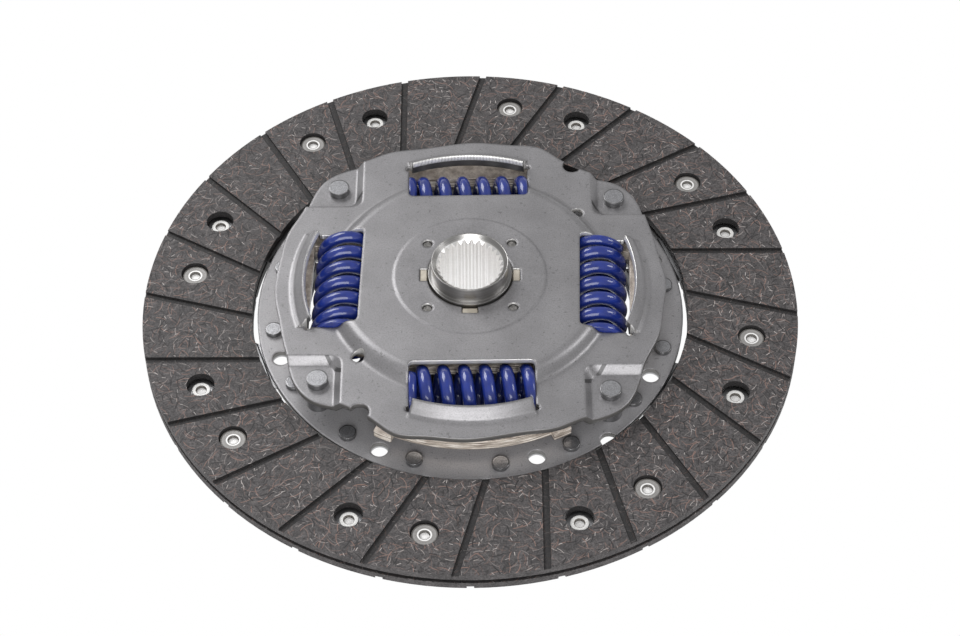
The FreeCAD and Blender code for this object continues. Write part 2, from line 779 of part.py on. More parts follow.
def make_cup_spring():
    body = new_body("cup_spring")
    foot = FLANGE_TOP + " + running_gap + washer_thickness"
    head = COIN_UNDERSIDE
    add_turned(body, [
        ("cup_outer_radius", foot),
        ("cup_outer_radius", foot + " + cup_thickness"),
        ("cup_inner_radius", head),
        ("cup_inner_radius", head + " - cup_thickness"),
    ])
    return body


def make_rear_bush():
    body = new_body("rear_bush")
    add_ring(body, "pack_bore_radius", "rear_bush_radius", "plate_sheet", "hub_seat_height - running_gap")
    return body


# Hub and its flange

def make_hub():
    body = new_body("hub")
    add_turned(body, [
        ("spline_minor_radius", "hub_foot_height"),
        ("hub_barrel_radius", "hub_foot_height"),
        ("hub_barrel_radius", "hub_seat_height"),
        ("hub_seat_radius", "hub_seat_height"),
        ("hub_seat_radius", FLANGE_TOP),
        ("hub_barrel_radius", FLANGE_TOP),
        ("hub_barrel_radius", "hub_step_height"),
        ("hub_rim_radius", "hub_step_height"),
        ("hub_rim_radius", "hub_height"),
        ("hub_mouth_radius", "hub_height"),
        ("spline_minor_radius", "hub_height - (hub_mouth_radius - spline_minor_radius)"),
    ])
    space = new_sketch(body, "XY_Plane", "hub_height", "spline_angle")
    add_polygon(space, [
        ("spline_minor_radius - 1", "-spline_mouth_half_width"),
        ("spline_minor_radius", "-spline_mouth_half_width"),
        ("spline_major_radius", "-spline_root_half_width"),
        ("spline_major_radius", "spline_root_half_width"),
        ("spline_minor_radius", "spline_mouth_half_width"),
        ("spline_minor_radius - 1", "spline_mouth_half_width"),
    ])
    add_pattern(body, [add_pocket(body, space, "hub_height")], "spline_count")
    return body


def make_lugs():
    """Low lugs on the flange's rim, at both ends of the upper and the lower arm."""
    body = new_body("flange_lugs")
    lugs = []
    middle = "(upper_arm_half_angle + lug_start_angle) / 2"
    for sign in ("-", "+"):
        profile = new_sketch(body, "XZ_Plane", turn="upper_window_angle %s %s" % (sign, middle))
        add_polygon(profile, [
            ("flange_radius - 1", FLANGE_UNDERSIDE), ("lug_radius", FLANGE_UNDERSIDE),
            ("lug_radius", FLANGE_TOP + " - flange_thickness / 4"), ("flange_radius - 1", FLANGE_TOP),
        ])
        lugs.append(add_feature(
            body, "Revolution", profile, ReferenceAxis=(profile, ["V_Axis"]),
            Angle="upper_arm_half_angle - lug_start_angle", Midplane=True))
    add_pattern(body, lugs, "2")
    return body


def make_hub_flange():
    body = new_body("hub_flange_plate")
    disc = new_sketch(body, "XY_Plane", FLANGE_UNDERSIDE)
    add_circle(disc, "flange_radius")
    add_circle(disc, "hub_seat_radius + 0.02")
    add_pad(body, disc, "flange_thickness")

    cuts = []
    upper_edge = "(upper_window_angle - upper_arm_half_angle)"
    side_edge = "(side_window_angle + side_arm_half_angle)"
    upper_back = "(upper_window_angle + upper_arm_half_angle)"
    side_back = "(side_window_angle + 180 - side_arm_half_angle)"
    for low, high in ((side_edge, upper_edge), (upper_back, side_back)):
        middle = "(%s + %s) / 2" % (low, high)
        half = "(%s - %s) / 2" % (high, low)
        gap = new_sketch(body, "XY_Plane", FLANGE_TOP, middle)
        add_polygon(gap, [
            polar("flange_waist_radius", "-%s / 2" % half),
            polar("arm_root_radius", "-" + half),
            polar("flange_radius + 10", "-" + half),
            ("flange_radius + 10", "0"),
            polar("flange_radius + 10", half),
            polar("arm_root_radius", half),
            polar("flange_waist_radius", half + " / 2"),
        ])
        cuts.append(add_pocket(body, gap, "flange_thickness"))
    for angle in ("upper_window_angle", "side_window_angle"):
        window = new_sketch(body, "XY_Plane", FLANGE_TOP, angle)
        add_polygon(window, [
            ("flange_window_inner", "-flange_window_half_length"),
            ("flange_window_outer", "-flange_window_half_length"),
            ("flange_window_outer", "flange_window_half_length"),
            ("flange_window_inner", "flange_window_half_length"),
        ])
        cuts.append(add_pocket(body, window, "flange_thickness"))
    add_pattern(body, cuts, "2")
    return combine("MultiFuse", "hub_flange", body, [make_lugs()])


# Damper springs: wire along a helix, with a closed turn at each end

def spring_path(start):
    """Corners of the wire's centre line. At each end the last part of a turn lies flat, to be ground."""
    reach = size("spring_length") / 2 - size("spring_end_trim")
    turns = 2 * reach / size("spring_pitch") + 2 * size("spring_flat_turn")
    mean = size("spring_radius") - size("spring_wire_radius")
    steps = int(round(turns * SPRING_STEPS))
    points = []
    for step in range(steps + 1):
        turn = turns * step / steps
        along = max(-reach, min(reach, size("spring_pitch") * (turn - turns / 2)))
        angle = 2 * math.pi * turn + math.radians(start)
        points.append(FreeCAD.Vector(mean * math.cos(angle), mean * math.sin(angle), along))
    return points


def make_spring(number, angle, start):
    """A spring lying along the tangent at an angle, its wire starting at an angle of its own."""
    path = spring_path(start)
    wire = size("spring_wire_radius")
    outward = FreeCAD.Vector(path[0].x, path[0].y, 0).normalize()
    corners = []
    for side in range(SPRING_SIDES + 1):
        around = 2 * math.pi * side / SPRING_SIDES
        step = outward * (wire * math.cos(around)) + FreeCAD.Vector(0, 0, wire * math.sin(around))
        corners.append(path[0] + step)
    sweep = Part.BRepOffsetAPI.MakePipeShell(Part.makePolygon(path))
    sweep.setTransitionMode(1)
    sweep.setFrenetMode(True)
    sweep.add(Part.makePolygon(corners))
    sweep.build()
    sweep.makeSolid()
    length = size("spring_length")
    ground = Part.makeCylinder(size("spring_radius") * 2, length, FreeCAD.Vector(0, 0, -length / 2))
    spring = doc.addObject("Part::Feature", "damper_spring_%d" % number)
    spring.Label = "damper_spring_%d" % number
    spring.Shape = sweep.shape().common(ground)
    lying = FreeCAD.Rotation(FreeCAD.Vector(1, 0, 0), -90)
    turned = FreeCAD.Rotation(FreeCAD.Vector(0, 0, 1), angle)
    place = turned.multVec(FreeCAD.Vector(size("spring_circle"), 0, 0))
    place.z = size("damper_height")
    spring.Placement = FreeCAD.Placement(place, turned.multiply(lying))
    return spring


def make_springs():
    """The springs of the upper, the far side, the lower and the side window."""
    springs = []
    for number, name in enumerate(("upper", "far", "lower", "side"), start=1):
        angle = size("upper_window_angle" if name in ("upper", "lower") else "side_window_angle")
        if name in ("far", "lower"):
            angle += 180
        springs.append(make_spring(number, angle, size(name + "_spring_start")))
    return springs


def export(pieces):
    """Checks each object and writes each piece as a STEP file."""
    doc.recompute()
    for item in doc.Objects:
        if "Invalid" in item.State or "Error" in item.State:
            raise ValueError("%s: %s" % (item.Label, item.State))
    os.makedirs("parts", exist_ok=True)
    for piece in pieces:
        if piece.Shape.isNull() or not piece.Shape.isValid():
            raise ValueError("no valid shape: " + piece.Label)
        piece.Shape.exportStep("parts/%s.step" % piece.Label)


fill_sheet()
pieces = make_facings() + make_all_facing_rivets()
pieces += [make_segment(number) for number in range(1, 9)]
window_holes = [make_window("window_" + name, angle) for name, angle in WINDOW_ANGLES.items()]
relief_holes = window_drill("relief_holes")
pieces.append(make_driver_plate(window_holes, relief_holes))
pieces.append(make_cover_plate(window_holes, relief_holes))
pieces.append(make_segment_rivets())
pieces.append(make_stop_pins())
pieces += [make_front_bush(), make_cup_spring(), make_pressure_washer(), make_rear_bush()]
pieces += [make_hub(), make_hub_flange()]
pieces += make_springs()
export(pieces)
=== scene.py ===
import math

import bpy
import numpy as np
from mathutils import Matrix, Vector


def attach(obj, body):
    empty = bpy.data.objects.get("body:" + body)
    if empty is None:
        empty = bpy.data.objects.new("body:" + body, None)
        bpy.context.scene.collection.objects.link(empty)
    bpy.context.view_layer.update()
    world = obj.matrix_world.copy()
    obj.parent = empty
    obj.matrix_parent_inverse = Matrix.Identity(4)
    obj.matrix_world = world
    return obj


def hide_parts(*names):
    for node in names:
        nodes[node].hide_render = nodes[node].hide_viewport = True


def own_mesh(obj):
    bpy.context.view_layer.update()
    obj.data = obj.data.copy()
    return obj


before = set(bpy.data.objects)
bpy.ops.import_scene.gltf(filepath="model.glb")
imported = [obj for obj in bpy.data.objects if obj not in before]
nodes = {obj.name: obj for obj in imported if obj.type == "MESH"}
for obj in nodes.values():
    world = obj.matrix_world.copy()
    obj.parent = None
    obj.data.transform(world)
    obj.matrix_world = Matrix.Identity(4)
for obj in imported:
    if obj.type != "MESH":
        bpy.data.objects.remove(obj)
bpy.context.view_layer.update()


# Friction facings. Each is a ring of moulded compound, ground flat and grooved, with short copper and
# pale yarns pressed into it. The two rings lie back to back on the waved cushion segments.

# Sizes and places are in metres and angles in degrees, here and in every section.
FACING_RADIUS = 0.114
REAR_FACE = 0.00215
FRONT_FACE = 0.0093
GROUND_SKIN = 0.00003

# Each line is one kind of yarn: cells a metre, half length and half width as shares of a cell, bend, shift
# of the grid, the least lot that shows, and the colour. The three dark kinds are gaps that yarns leave.
YARNS = [
    (240.0, 0.46, 0.038, 0.15, 43.9, 0.10, (0.13, 0.115, 0.112, 1)),
    (180.0, 0.48, 0.034, 0.55, 0.0, 0.10, (0.20, 0.122, 0.100, 1)),
    (200.0, 0.48, 0.036, -0.60, 21.7, 0.10, (0.17, 0.104, 0.086, 1)),
    (160.0, 0.48, 0.030, 0.70, 63.1, 0.20, (0.20, 0.130, 0.110, 1)),
    (220.0, 0.48, 0.036, -0.45, 37.5, 0.20, (0.16, 0.104, 0.088, 1)),
    (190.0, 0.48, 0.026, 0.50, 83.7, 0.20, (0.20, 0.177, 0.170, 1)),
    (270.0, 0.46, 0.038, -0.35, 7.3, 0.55, (0.34, 0.305, 0.290, 1)),
    (210.0, 0.48, 0.060, 0.40, 13.1, 0.00, (0.010, 0.009, 0.010, 1)),
    (240.0, 0.48, 0.065, -0.45, 57.0, 0.00, (0.011, 0.010, 0.011, 1)),
    (290.0, 0.46, 0.060, 0.30, 71.4, 0.00, (0.010, 0.009, 0.010, 1)),
    (520.0, 0.42, 0.075, 0.10, 31.3, 0.80, (0.42, 0.385, 0.370, 1)),
]


def node_tree(name):
    """A new material and its node tree, with the glossy shader that every finish here ends in."""
    finish = bpy.data.materials.new(name)
    finish.use_nodes = True
    tree = finish.node_tree
    return finish, tree, tree.nodes["Principled BSDF"]


def place(tree, kind, settings=(), inputs=()):
    """One node with its settings, its inputs given as constants or as the sockets that feed them."""
    node = tree.nodes.new(kind)
    for name, value in settings:
        setattr(node, name, value)
    for key, value in inputs:
        if isinstance(value, bpy.types.NodeSocket):
            tree.links.new(value, node.inputs[key])
        else:
            node.inputs[key].default_value = value
    return node


def object_coords(tree):
    return place(tree, "ShaderNodeTexCoord").outputs["Object"]


def split_coords(tree, vector):
    return place(tree, "ShaderNodeSeparateXYZ", inputs=[("Vector", vector)]).outputs


def arithmetic(tree, operation, first, second=0.0):
    node = place(tree, "ShaderNodeMath", [("operation", operation)], [(0, first), (1, second)])
    return node.outputs["Value"]


def multiply(tree, first, second):
    return arithmetic(tree, "MULTIPLY", first, second)


def length(tree, first, second):
    """The square root of the sum of two squares."""
    return arithmetic(tree, "SQRT", arithmetic(
        tree, "ADD", multiply(tree, first, first), multiply(tree, second, second)))


def axis_distance(tree, along):
    """How far a point is from the disc's axis."""
    return length(tree, along["X"], along["Y"])


def levelness(tree):
    """One where the surface faces along the disc's axis, and nought on a wall that stands along it."""
    facing = split_coords(tree, place(tree, "ShaderNodeTexCoord").outputs["Normal"])
    return arithmetic(tree, "ABSOLUTE", facing["Z"])


def window(tree, value, low, high):
    """Nought below low, one above high, and a straight line between."""
    return place(tree, "ShaderNodeMapRange", [("clamp", True)], [
        ("Value", value), ("From Min", low), ("From Max", high),
    ]).outputs["Result"]


def fall(tree, value, low, high):
    """One below low, nought above high, and a straight line between."""
    return arithmetic(tree, "SUBTRACT", 1.0, window(tree, value, low, high))


def band(tree, value, start, stop, border):
    """One between start and stop and nought outside, with a soft border inside each."""
    return multiply(tree, window(tree, value, start, start + border), fall(tree, value, stop - border, stop))


def speckle(tree, coords, scale, detail=3.0, roughness=0.55):
    """Fractal noise over the object's own coordinates, in metres times the scale."""
    return place(tree, "ShaderNodeTexNoise", inputs=[
        ("Vector", coords), ("Scale", scale), ("Detail", detail), ("Roughness", roughness),
    ]).outputs["Fac"]


def ramp(tree, value, stops):
    """A colour ramp through pairs of position and colour."""
    node = place(tree, "ShaderNodeValToRGB", inputs=[("Fac", value)])
    elements = node.color_ramp.elements
    while len(elements) < len(stops):
        elements.new(0.5)
    for element, (position, colour) in zip(elements, stops):
        element.position = position
        element.color = colour
    return node.outputs["Color"]


def blend_colours(tree, share, first, second, mode="MIX"):
    node = place(tree, "ShaderNodeMix", [("data_type", "RGBA"), ("blend_type", mode)], [
        (0, share), (6, first), (7, second),
    ])
    return node.outputs[2]


def coat(tree, shader, colour, roughness, metallic=0.0):
    """Gives the shader its colour and its gloss."""
    tree.links.new(colour, shader.inputs["Base Color"])
    shader.inputs["Roughness"].default_value = roughness
    shader.inputs["Metallic"].default_value = metallic


def bump(tree, shader, height, strength, distance, edge=0.0):
    """Fine relief. With an edge radius, sharp edges and bends also shade as if they were rounded to it."""
    inputs = [("Height", height), ("Strength", strength), ("Distance", distance)]
    if edge:
        rounded = place(tree, "ShaderNodeBevel", [("samples", 8)], [("Radius", edge)])
        inputs.append(("Normal", rounded.outputs["Normal"]))
    node = place(tree, "ShaderNodeBump", inputs=inputs)
    tree.links.new(node.outputs["Normal"], shader.inputs["Normal"])


def yarns(tree, coords, scale, half_length, half_width, bend, shift):
    """Short bent strands, one per cell of a grid of scattered points.

    In its cell a strand lies on the curve v = bend * u * u, where u and v are the distances from the cell's
    point, turned by an angle that the cell draws by lot. The result is one on the strand and nought off it,
    with a second lot of the cell.
    """
    flat = place(tree, "ShaderNodeVectorMath", [("operation", "MULTIPLY_ADD")], [
        (0, coords), (1, (scale, scale, 0.0)), (2, (shift, shift * 0.7, 0.0)),
    ]).outputs["Vector"]
    cell = place(tree, "ShaderNodeTexVoronoi", [("voronoi_dimensions", "2D")], [
        ("Vector", flat), ("Scale", 1.0),
    ]).outputs
    offset = place(tree, "ShaderNodeVectorMath", [("operation", "SUBTRACT")], [
        (0, flat), (1, cell["Position"]),
    ]).outputs["Vector"]
    lots = place(tree, "ShaderNodeSeparateColor", inputs=[("Color", cell["Color"])]).outputs
    turned = place(tree, "ShaderNodeVectorRotate", [("rotation_type", "Z_AXIS")], [
        ("Vector", offset), ("Angle", multiply(tree, lots["Red"], 2 * math.pi)),
    ]).outputs["Vector"]
    own = split_coords(tree, turned)
    curve = multiply(tree, multiply(tree, own["X"], own["X"]), bend)
    beside = arithmetic(tree, "ABSOLUTE", arithmetic(tree, "SUBTRACT", own["Y"], curve))
    along = arithmetic(tree, "ABSOLUTE", own["X"])
    on_line = fall(tree, beside, half_width * 0.5, half_width)
    in_reach = fall(tree, along, half_length * 0.8, half_length)
    return multiply(tree, on_line, in_reach), lots["Green"]


def friction_compound():
    """Grainy compound with yarns on its level faces. Grooves, holes and the inner rim carry painted shade."""
    finish, tree, shader = node_tree("friction_compound")
    coords = object_coords(tree)
    clouds = speckle(tree, coords, 210.0, 5.0, 0.7)
    grain = speckle(tree, coords, 1500.0, 4.0, 0.7)
    colour = ramp(tree, clouds, [(0.3, (0.050, 0.046, 0.047, 1)), (0.7, (0.120, 0.110, 0.111, 1))])
    dust = ramp(tree, grain, [(0.35, (0.10, 0.10, 0.10, 1)), (0.65, (1.0, 1.0, 1.0, 1))])
    colour = blend_colours(tree, 0.8, colour, dust, "MULTIPLY")
    pits = window(tree, speckle(tree, coords, 620.0, 3.0, 0.6), 0.58, 0.66)
    colour = blend_colours(tree, multiply(tree, pits, 0.75), colour, (0.014, 0.012, 0.012, 1))
    level = window(tree, levelness(tree), 0.4, 0.6)
    for scale, half_length, half_width, bend, shift, least_lot, tint in YARNS:
        strand, lot = yarns(tree, coords, scale, half_length, half_width, bend, shift)
        shown = multiply(tree, strand, window(tree, lot, least_lot, 1.0))
        colour = blend_colours(tree, multiply(tree, level, shown), colour, tint)
    along = split_coords(tree, coords)
    between_faces = band(tree, along["Z"], REAR_FACE + GROUND_SKIN, FRONT_FACE - GROUND_SKIN, 0.00006)
    inside_rim = fall(tree, axis_distance(tree, along), FACING_RADIUS - 0.0004, FACING_RADIUS - 0.0001)
    painted_recess_shade = multiply(tree, between_faces, inside_rim)
    # Painted shade: everything between the two faces, in the grooves, holes and inner rim, is darkened nearly
    # to black.
    colour = blend_colours(tree, multiply(tree, painted_recess_shade, 0.8), colour, (0.007, 0.0065, 0.007, 1))
    coat(tree, shader, colour, 0.62)
    shader.inputs["Specular IOR Level"].default_value = 0.45
    bump(tree, shader, arithmetic(tree, "ADD", grain, clouds), 0.45, 0.00015)
    return finish


def dress(finish, *names):
    """Gives CAD nodes their finish."""
    for name in names:
        slots = nodes[name].data.materials
        slots.clear()
        slots.append(finish)


dress(friction_compound(), "front_facing", "rear_facing")


# Rivets of the facings and of the segments, and the stop pins. All are cold-headed steel with a thin
# plating that has gone slightly matt, and the tool leaves faint marks on the heads.

FACINGS_MIDDLE = 0.005725
RIVET_CIRCLE = 0.0983
RIVET_STEP = 45.0
FRONT_RIVET_ANGLE = 36.350
REAR_RIVET_ANGLE = 21.250
RIVET_RAMP = 0.005
SEGMENT_RIVET_CIRCLE = 0.0689
SEGMENT_RIVET_ANGLE = 18.840
SEGMENT_RIVET_HALF_ANGLE = 10.44
SEGMENT_RIVET_RADIUS = 0.0029
STOP_PIN_CIRCLE = 0.0659
STOP_PIN_STEP = 180.0
STOP_PIN_ANGLE = 87.19
STOP_PIN_HALF_ANGLE = 48.25
STOP_PIN_RADIUS = 0.00365


def off_axis(tree, along, circle, step, first_angle, half_angle=0.0):
    """How far a point is from the axis of the nearest of several like rivets on one circle.

    The angle round the disc is wrapped into one step of the circle, and folded once more where the rivets
    stand in pairs. What is left over the circle's radius and along its tangent are the sides of the distance.
    """
    around = arithmetic(tree, "ARCTAN2", along["Y"], along["X"])
    around = arithmetic(tree, "SUBTRACT", around, math.radians(first_angle))
    around = place(tree, "ShaderNodeMath", [("operation", "WRAP")], [
        (0, around), (1, math.radians(step / 2)), (2, -math.radians(step / 2))]).outputs["Value"]
    if half_angle:
        around = arithmetic(tree, "SUBTRACT", arithmetic(tree, "ABSOLUTE", around), math.radians(half_angle))
    reach = axis_distance(tree, along)
    over = arithmetic(tree, "SUBTRACT", multiply(tree, reach, arithmetic(tree, "COSINE", around)), circle)
    beside = multiply(tree, reach, arithmetic(tree, "SINE", around))
    return length(tree, over, beside)


def rivet_plating(name, first_angle, flange_above):
    """Plating of the facing rivets: a painted white middle for the lit table seen through the bore, painted
    shade in a dark ring round it, a grey flange, and a bright rolled end.
    """
    finish, tree, shader = node_tree(name)
    coords = object_coords(tree)
    along = split_coords(tree, coords)
    distance = off_axis(tree, along, RIVET_CIRCLE, RIVET_STEP, first_angle)
    distance = multiply(tree, distance, 1 / RIVET_RAMP)
    # Painted light and shade: the white middle is the lit table seen through the bore, and the dark ring next
    # to it is painted shade in the bore.
    flange = ramp(tree, distance, [
        (0.31, (0.97, 0.96, 0.95, 1)), (0.345, (0.16, 0.15, 0.14, 1)), (0.38, (0.16, 0.15, 0.14, 1)),
        (0.41, (0.92, 0.91, 0.90, 1)), (0.46, (0.90, 0.89, 0.88, 1)), (0.52, (0.24, 0.23, 0.22, 1)),
        (0.74, (0.36, 0.35, 0.34, 1)), (0.80, (0.16, 0.15, 0.14, 1))])
    roll = ramp(tree, distance, [
        (0.30, (0.97, 0.96, 0.95, 1)), (0.335, (0.20, 0.18, 0.16, 1)), (0.37, (0.20, 0.18, 0.16, 1)),
        (0.40, (0.95, 0.94, 0.92, 1)), (0.62, (0.92, 0.91, 0.89, 1)), (0.70, (0.30, 0.29, 0.28, 1))])
    above = window(tree, along["Z"], FACINGS_MIDDLE - 0.0001, FACINGS_MIDDLE + 0.0001)
    lower, upper = (roll, flange) if flange_above else (flange, roll)
    grain = speckle(tree, coords, 1400.0, 4.0)
    mottle = ramp(tree, grain, [(0.3, (0.8, 0.8, 0.8, 1)), (0.7, (1, 1, 1, 1))])
    colour = blend_colours(tree, 1.0, blend_colours(tree, above, lower, upper), mottle, "MULTIPLY")
    coat(tree, shader, colour, 0.40, 0.15)
    bump(tree, shader, grain, 0.1, 0.00005, 0.0004)
    return finish


def headed_steel(name, radius, *places):
    """Plating of a cold-headed pin: faint rings of the heading tool, and painted shade in a dark corner round
    the head.
    """
    finish, tree, shader = node_tree(name)
    coords = object_coords(tree)
    distance = off_axis(tree, split_coords(tree, coords), *places)
    rings = arithmetic(tree, "SINE", multiply(tree, distance, 9000.0))
    grain = arithmetic(tree, "ADD", multiply(tree, rings, 0.08), speckle(tree, coords, 1600.0, 4.0))
    colour = ramp(tree, grain, [(0.3, (0.27, 0.27, 0.28, 1)), (0.7, (0.45, 0.45, 0.47, 1))])
    # Painted shade: a dark ring round the edge of each head.
    painted_edge_shade = window(tree, distance, radius - 0.0005, radius - 0.0002)
    colour = blend_colours(tree, multiply(tree, painted_edge_shade, 0.65), colour, (0.09, 0.088, 0.085, 1))
    coat(tree, shader, colour, 0.28, 0.85)
    bump(tree, shader, grain, 0.35, 0.00006, 0.0005)
    return finish


dress(rivet_plating("front_rivet_plating_painted_light", FRONT_RIVET_ANGLE, True), "front_facing_rivets")
dress(rivet_plating("rear_rivet_plating_painted_light", REAR_RIVET_ANGLE, False), "rear_facing_rivets")
dress(headed_steel("segment_rivet_plating", SEGMENT_RIVET_RADIUS, SEGMENT_RIVET_CIRCLE, RIVET_STEP,
                   SEGMENT_RIVET_ANGLE, SEGMENT_RIVET_HALF_ANGLE), "segment_rivets")
dress(headed_steel("stop_pin_plating", STOP_PIN_RADIUS, STOP_PIN_CIRCLE, STOP_PIN_STEP,
                   STOP_PIN_ANGLE, STOP_PIN_HALF_ANGLE), "stop_pins")


# Cushion segments, of thin spring steel: riveted by their feet under the driver plate's ring, with waved
# paddles between the facings. The cup spring of the friction pack is of the same sheet.

def spring_sheet():
    finish, tree, shader = node_tree("spring_sheet")
    grain = speckle(tree, object_coords(tree), 250.0)
    colour = ramp(tree, grain, [(0.3, (0.34, 0.34, 0.35, 1)), (0.7, (0.48, 0.48, 0.49, 1))])
    coat(tree, shader, colour, 0.35, 1.0)
    return finish


dress(spring_sheet(), *["cushion_segment_%d" % number for number in range(1, 9)], "cup_spring")


# Driver plate and cover plate. Both are stamped from 2 mm sheet and phosphated to a satin grey; the cover
# has the bell, the four pads that the stop pins are riveted on, and the hoods over the springs.

HOOD_TIP = (0.0562, 0.0574)
HOOD_ROOT = (0.0573, 0.0586)
COVER_RIM = (0.0595, 0.0605)


def satin_sheet(name, low, high, metallic):
    """Satin sheet between a low and a high tone, with bare metal on the sheared edges.

    The bare metal carries the marks of the punch on the hoods' tips. Elsewhere it is painted bright inside
    the cover's rim, as in the windows, as painted highlights where the edges catch the light, and painted
    dark outside it as painted shade. The hoods' roots carry painted shade where they are steep.
    """
    finish, tree, shader = node_tree(name)
    coords = object_coords(tree)
    clouds = speckle(tree, coords, 60.0, 5.0)
    grain = speckle(tree, coords, 2200.0, 3.0)
    colour = ramp(tree, clouds, [
        (0.3, (low, low * 0.98, low * 1.01, 1)), (0.7, (high, high * 0.98, high * 1.01, 1))])
    dust = ramp(tree, grain, [(0.35, (0.45, 0.45, 0.45, 1)), (0.6, (1, 1, 1, 1))])
    colour = blend_colours(tree, 0.35, colour, dust, "MULTIPLY")
    level = levelness(tree)
    along = split_coords(tree, coords)
    reach = axis_distance(tree, along)
    hood_root = band(tree, reach, *HOOD_ROOT, 0.0001)
    # Painted shade: the steep walls at the hoods' roots are darkened nearly to black.
    painted_root_shade = multiply(tree, hood_root, fall(tree, level, 0.70, 0.75))
    colour = blend_colours(tree, multiply(tree, painted_root_shade, 0.75), colour, (0.03, 0.03, 0.03, 1))
    around = arithmetic(tree, "ARCTAN2", along["Y"], along["X"])
    comb = arithmetic(tree, "SINE", multiply(tree, around, 680.0))
    comb = window(tree, arithmetic(tree, "ADD", comb, speckle(tree, coords, 900.0)), -0.6, 1.3)
    punched = ramp(tree, comb, [(0.0, (0.20, 0.195, 0.19, 1)), (0.7, (0.97, 0.96, 0.94, 1))])
    # Painted highlight and shade: sheared edges are painted bright inside the cover's rim and dark outside
    # it.
    outside = window(tree, reach, *COVER_RIM)
    painted_edge_light_and_shade = blend_colours(tree, outside, (0.66, 0.65, 0.64, 1), (0.17, 0.165, 0.16, 1))
    bare_metal_and_painted_edges = blend_colours(tree, band(tree, reach, *HOOD_TIP, 0.0001), painted_edge_light_and_shade, punched)
    pits = window(tree, speckle(tree, coords, 800.0, 2.0), 0.66, 0.70)
    colour = blend_colours(tree, multiply(tree, pits, 0.45), colour, (0.09, 0.088, 0.09, 1))
    not_root = arithmetic(tree, "SUBTRACT", 1.0, hood_root)
    sheared = multiply(tree, fall(tree, level, 0.33, 0.38), not_root)
    coat(tree, shader, blend_colours(tree, sheared, colour, bare_metal_and_painted_edges), 0.38, metallic)
    bump(tree, shader, grain, 0.15, 0.00006, 0.0012)
    return finish


dress(satin_sheet("cover_sheet", 0.235, 0.300, 0.6), "cover_plate")
# Painted light: the driver plate is the cover's sheet in a lighter tone, to lift it out of the cover's shade.
dress(satin_sheet("driver_sheet_painted_light", 0.300, 0.370, 0.3), "driver_plate")


# Friction pack round the hub, held between the plates: cream plastic bushes, and a dark pressed steel
# washer that turns with the plates because its four pegs stand in their holes.

PEG_CIRCLE = 0.0207
PEG_STEP = 90.0
PEG_ANGLE = 45.45
PEG_RADIUS = 0.00165


def bearing_plastic():
    finish, tree, shader = node_tree("bearing_plastic")
    grain = speckle(tree, object_coords(tree), 300.0)
    colour = ramp(tree, grain, [(0.3, (0.36, 0.32, 0.26, 1)), (0.7, (0.50, 0.46, 0.39, 1))])
    coat(tree, shader, colour, 0.5)
    return finish


def scaled_relief(tree, shader, coords):
    """The relief that heat treatment leaves on steel, and the noise it comes from."""
    scale = speckle(tree, coords, 330.0, 5.0, 0.65)
    bump(tree, shader, scale, 0.3, 0.0001, 0.0006)
    return scale


def pegged_steel():
    """Steel of the pressure washer, grey on the ends of its pegs, with painted shade where they meet their
    holes.
    """
    finish, tree, shader = node_tree("pegged_steel")
    coords = object_coords(tree)
    scaled_relief(tree, shader, coords)
    distance = off_axis(tree, split_coords(tree, coords), PEG_CIRCLE, PEG_STEP, PEG_ANGLE)
    grain = speckle(tree, coords, 1100.0, 4.0)
    colour = ramp(tree, grain, [(0.35, (0.12, 0.115, 0.11, 1)), (0.65, (0.30, 0.29, 0.28, 1))])
    painted_edge_shade = window(tree, distance, PEG_RADIUS - 0.0005, PEG_RADIUS - 0.0001)
    # Painted shade: a dark ring where each peg meets its hole.
    coat(tree, shader, blend_colours(tree, painted_edge_shade, colour, (0.02, 0.019, 0.018, 1)), 0.33, 0.7)
    return finish


dress(bearing_plastic(), "front_bush", "rear_bush")
dress(pegged_steel(), "pressure_washer")


# Hub flange, cut from rolled plate and heat-treated. It stands between the two plates and turns with the
# hub, and every spring sits in a window of it.

def layers(tree, coords, across, along, detail, roughness):
    """Noise pressed flat, so that it runs in layers square to the disc's axis."""
    pressed = place(tree, "ShaderNodeMapping", inputs=[
        ("Vector", coords), ("Scale", (across, across, along)),
    ])
    return speckle(tree, pressed.outputs["Vector"], 1.0, detail, roughness)


def rolled_flange():
    """Brown on the flat faces; its cut walls carry the fine layers of the rolled plate, with a painted sheen
    that makes them bright.
    """
    finish, tree, shader = node_tree("rolled_flange")
    coords = object_coords(tree)
    scale = scaled_relief(tree, shader, coords)
    face = ramp(tree, scale, [(0.35, (0.40, 0.332, 0.28, 1)), (0.65, (0.90, 0.81, 0.72, 1))])
    wall_layers_and_painted_sheen = ramp(tree, layers(tree, coords, 110.0, 2200.0, 4.0, 0.65), [
        (0.38, (0.16, 0.12, 0.095, 1)), (0.52, (0.62, 0.54, 0.46, 1)), (0.62, (0.97, 0.92, 0.84, 1))])
    upright = fall(tree, levelness(tree), 0.3, 0.5)
    # Painted sheen: the steep walls are painted much brighter than the faces, as if lit.
    coat(tree, shader, blend_colours(tree, upright, face, wall_layers_and_painted_sheen), 0.33, 0.3)
    return finish


dress(rolled_flange(), "hub_flange")


# Hub, turned from bar and broached with 28 splines, left bright. The tool's fine rings run round its
# collar. The broached teeth inside are painted near white as painted light in the bore, and the collar is
# left darker.

BORE_RADIUS = (0.01145, 0.0117)


